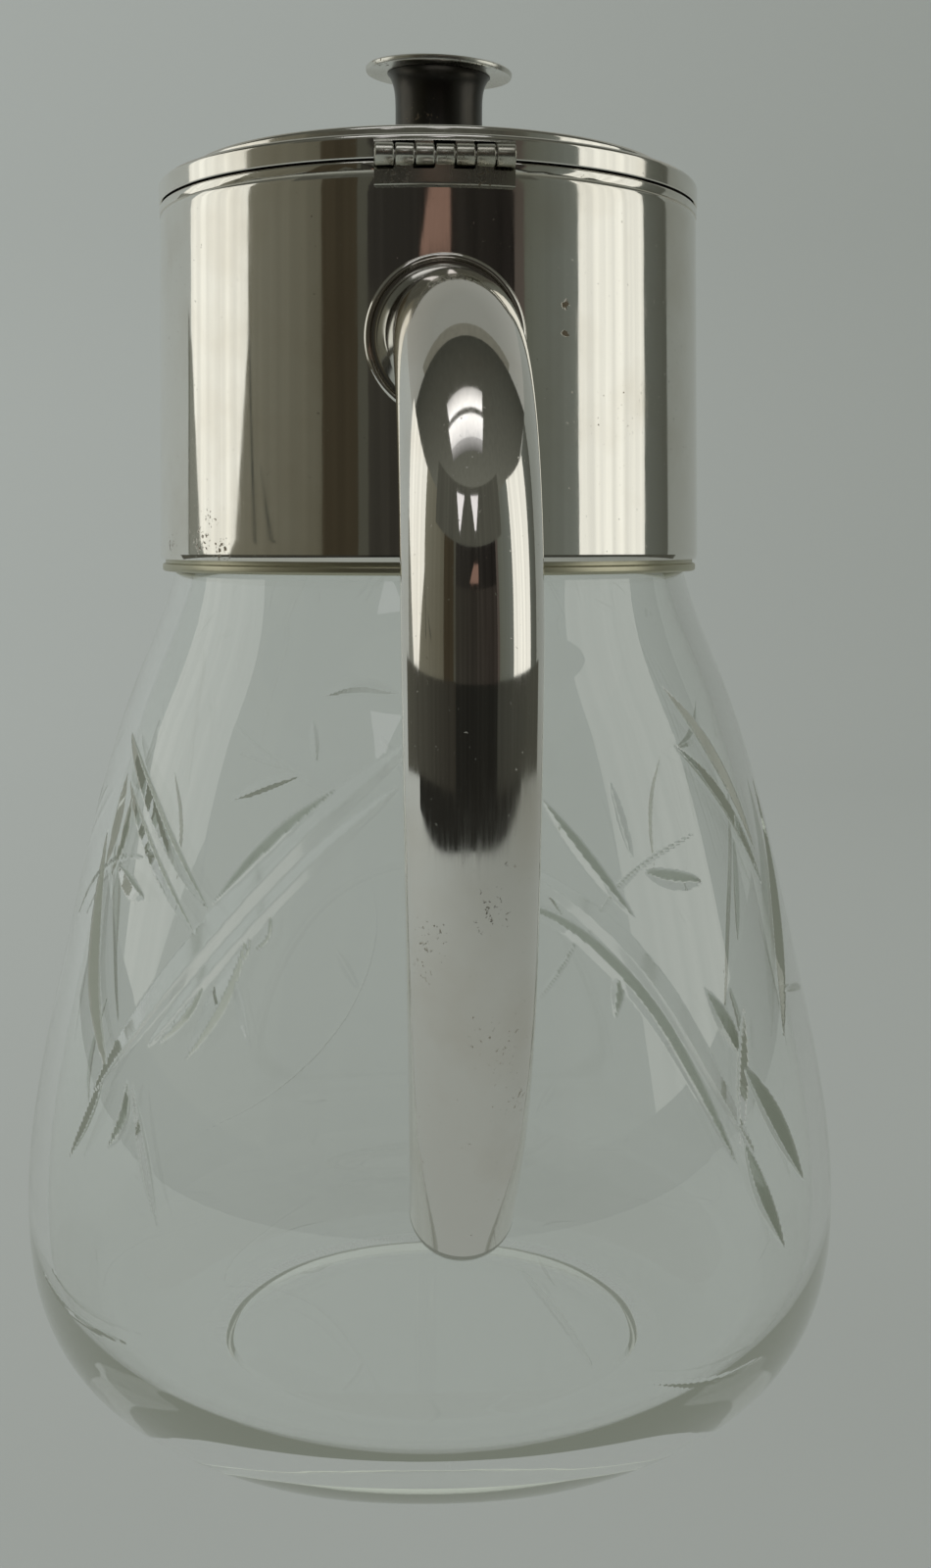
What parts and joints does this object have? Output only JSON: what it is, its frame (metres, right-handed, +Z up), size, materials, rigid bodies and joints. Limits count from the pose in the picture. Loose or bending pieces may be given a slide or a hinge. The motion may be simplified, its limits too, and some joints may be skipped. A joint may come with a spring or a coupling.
{
  "type": "claret jug",
  "caption": "Cut-glass claret jug with a plated collar, a hinged lid with a round knob, and a hollow bow handle that stands clear of the glass.",
  "frame": {"origin": "on the jug's axis, in the plane that the foot rests on", "axes": "+Z up along the glass's axis, +Y towards the pouring lip, the hinge and the handle are on -Y, +X to the right seen from the handle"},
  "size_m": [0.1568, 0.1931, 0.2486],
  "materials": {
    "glass": "clear lead glass with shallow cut leaf sprays, polished",
    "silver": "polished silver plate with fine wear, small pits and a warm tarnish",
    "dull_silver": "satin silver plate, tarnished, inside the fittings",
    "bare_brass": "base metal where the plate has worn off, dull khaki",
    "plaster": "matt plaster of Paris"
  },
  "bodies": {
    "jug": {"glass_body": "glass", "plaster_ring": "plaster", "collar_sleeve": "silver", "collar_rim": "silver", "collar_trim_ring": "bare_brass", "glass_stop_ring": "dull_silver", "pouring_lip": "silver", "strainer": "dull_silver", "hinge_collar_leaf": "silver", "hinge_pin": "dull_silver", "handle_flange": "silver", "handle_flange_wire": "silver", "handle_tube": "silver", "handle_end_cap": "silver", "handle_backing_plate": "dull_silver"},
    "lid": {"lid_cover": "silver", "lid_centring_ring": "dull_silver", "knob_disc": "silver", "knob_neck": "silver", "knob_stud": "dull_silver", "knob_washer": "dull_silver", "knob_nut": "bare_brass", "hinge_lid_leaf": "silver"}
  },
  "joints": [
    {"name": "lid_hinge", "type": "hinge", "parent": "jug", "child": "lid", "pos_m": [0, -0.0494, 0.2225], "axis": [1, 0, 0], "range_deg": [0, 105]}
  ]
}
